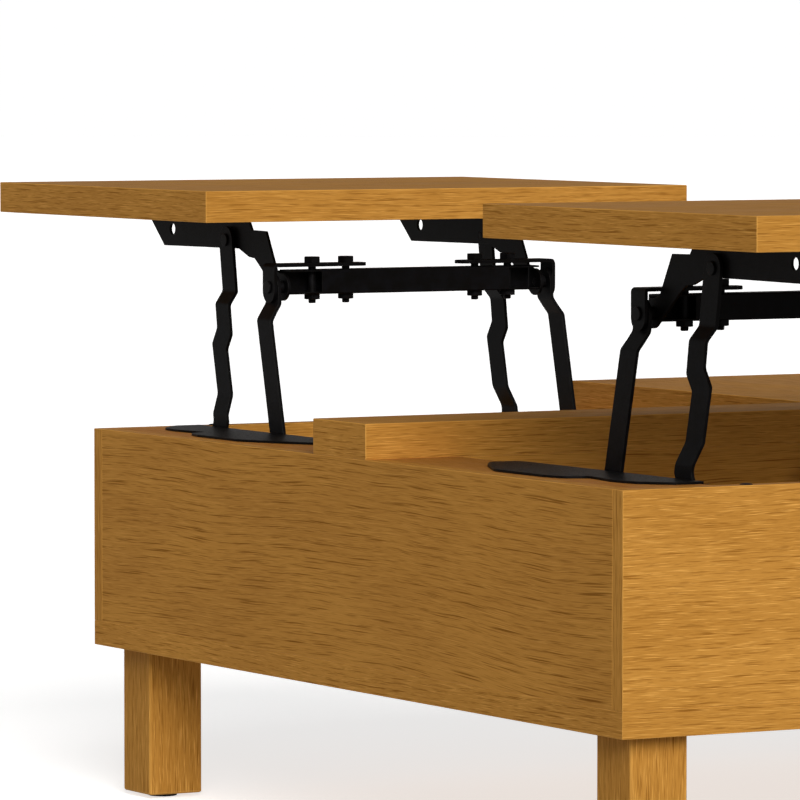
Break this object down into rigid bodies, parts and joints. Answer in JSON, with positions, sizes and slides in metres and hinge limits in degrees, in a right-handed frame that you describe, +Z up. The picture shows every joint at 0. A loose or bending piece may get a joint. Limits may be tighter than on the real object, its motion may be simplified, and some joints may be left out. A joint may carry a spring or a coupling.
{
  "type": "lift top coffee table",
  "caption": "Square oak coffee table with lids that rise and swing outward on parallel steel arms, over storage wells and open cubbies.",
  "frame": {"origin": "middle of the footprint, on the floor under the glides", "axes": "+X from the front panel to the open cubbies, +Y from the right end to the left end, along the way the lids swing out, +Z up"},
  "size_m": [1.05, 1.491, 0.626],
  "materials": {
    "oak_veneer": "satin lacquered golden oak veneer",
    "oak_solid": "satin lacquered oak",
    "black_steel": "black powder coat",
    "black_fastener": "black oxide",
    "black_rubber": "matte"
  },
  "bodies": {
    "case": {"front_panel": "oak_veneer", "right_end_board": "oak_veneer", "left_end_board": "oak_veneer", "bottom_board": "oak_veneer", "right_divider": "oak_veneer", "left_divider": "oak_veneer", "cross_divider": "oak_veneer", "cubby_partition": "oak_veneer", "top_cleats": "oak_solid", "front_right_rail": "oak_solid", "rear_right_rail": "oak_solid", "front_left_rail": "oak_solid", "rear_left_rail": "oak_solid", "centre_strip": "oak_veneer", "rear_top": "oak_veneer", "front_right_leg": "oak_veneer", "rear_right_leg": "oak_veneer", "front_left_leg": "oak_veneer", "rear_left_leg": "oak_veneer", "leg_bolts": "black_fastener", "leg_glides": "black_rubber", "lid_bumpers": "black_rubber", "front_right_base_plate": "black_steel", "rear_right_base_plate": "black_steel", "front_left_base_plate": "black_steel", "rear_left_base_plate": "black_steel", "base_plate_screws": "black_fastener", "base_pivot_pins": "black_fastener", "arm_stop_pins": "black_fastener"},
    "right_lift_frame": {"right_front_lift_arm": "black_steel", "right_rear_lift_arm": "black_steel", "right_front_spreader_strip": "black_steel", "right_rear_spreader_strip": "black_steel", "right_spreader_tube": "black_steel", "right_spreader_bolts": "black_fastener"},
    "right_lid_unit": {"right_lid": "oak_veneer", "right_front_lid_bracket": "black_steel", "right_rear_lid_bracket": "black_steel", "right_bracket_screws": "black_fastener", "right_lid_pivot_pins": "black_fastener"},
    "right_front_guide": {"right_front_guide_arm": "black_steel"},
    "right_rear_guide": {"right_rear_guide_arm": "black_steel"},
    "left_lift_frame": {"left_front_lift_arm": "black_steel", "left_rear_lift_arm": "black_steel", "left_front_spreader_strip": "black_steel", "left_rear_spreader_strip": "black_steel", "left_spreader_tube": "black_steel", "left_spreader_bolts": "black_fastener"},
    "left_lid_unit": {"left_lid": "oak_veneer", "left_front_lid_bracket": "black_steel", "left_rear_lid_bracket": "black_steel", "left_bracket_screws": "black_fastener", "left_lid_pivot_pins": "black_fastener"},
    "left_front_guide": {"left_front_guide_arm": "black_steel"},
    "left_rear_guide": {"left_rear_guide_arm": "black_steel"}
  },
  "joints": [
    {"name": "right_lift", "type": "hinge", "parent": "case", "child": "right_lift_frame", "pos_m": [-0.244, -0.34561, 0.31971], "axis": [-1, 0, 0], "range_deg": [0, 96.42]},
    {"name": "right_lid_level", "type": "hinge", "parent": "right_lift_frame", "child": "right_lid_unit", "pos_m": [-0.244, -0.36, 0.52551], "axis": [-1, 0, 0], "range_deg": [-96.42, 0]},
    {"name": "right_front_guide_swing", "type": "hinge", "parent": "case", "child": "right_front_guide", "pos_m": [-0.244, -0.45811, 0.36471], "axis": [-1, 0, 0], "range_deg": [0, 96.42]},
    {"name": "right_rear_guide_swing", "type": "hinge", "parent": "case", "child": "right_rear_guide", "pos_m": [-0.244, -0.45811, 0.36471], "axis": [-1, 0, 0], "range_deg": [0, 96.42]},
    {"name": "left_lift", "type": "hinge", "parent": "case", "child": "left_lift_frame", "pos_m": [-0.244, 0.34561, 0.31971], "axis": [1, 0, 0], "range_deg": [0, 96.42]},
    {"name": "left_lid_level", "type": "hinge", "parent": "left_lift_frame", "child": "left_lid_unit", "pos_m": [-0.244, 0.36, 0.52551], "axis": [1, 0, 0], "range_deg": [-96.42, 0]},
    {"name": "left_front_guide_swing", "type": "hinge", "parent": "case", "child": "left_front_guide", "pos_m": [-0.244, 0.45811, 0.36471], "axis": [1, 0, 0], "range_deg": [0, 96.42]},
    {"name": "left_rear_guide_swing", "type": "hinge", "parent": "case", "child": "left_rear_guide", "pos_m": [-0.244, 0.45811, 0.36471], "axis": [1, 0, 0], "range_deg": [0, 96.42]}
  ],
  "couplings": [
    {"joint": "right_lid_level", "follows": "right_lift", "ratio": -1},
    {"joint": "right_front_guide_swing", "follows": "right_lift", "ratio": 1},
    {"joint": "right_rear_guide_swing", "follows": "right_lift", "ratio": 1},
    {"joint": "left_lid_level", "follows": "left_lift", "ratio": -1},
    {"joint": "left_front_guide_swing", "follows": "left_lift", "ratio": 1},
    {"joint": "left_rear_guide_swing", "follows": "left_lift", "ratio": 1}
  ]
}
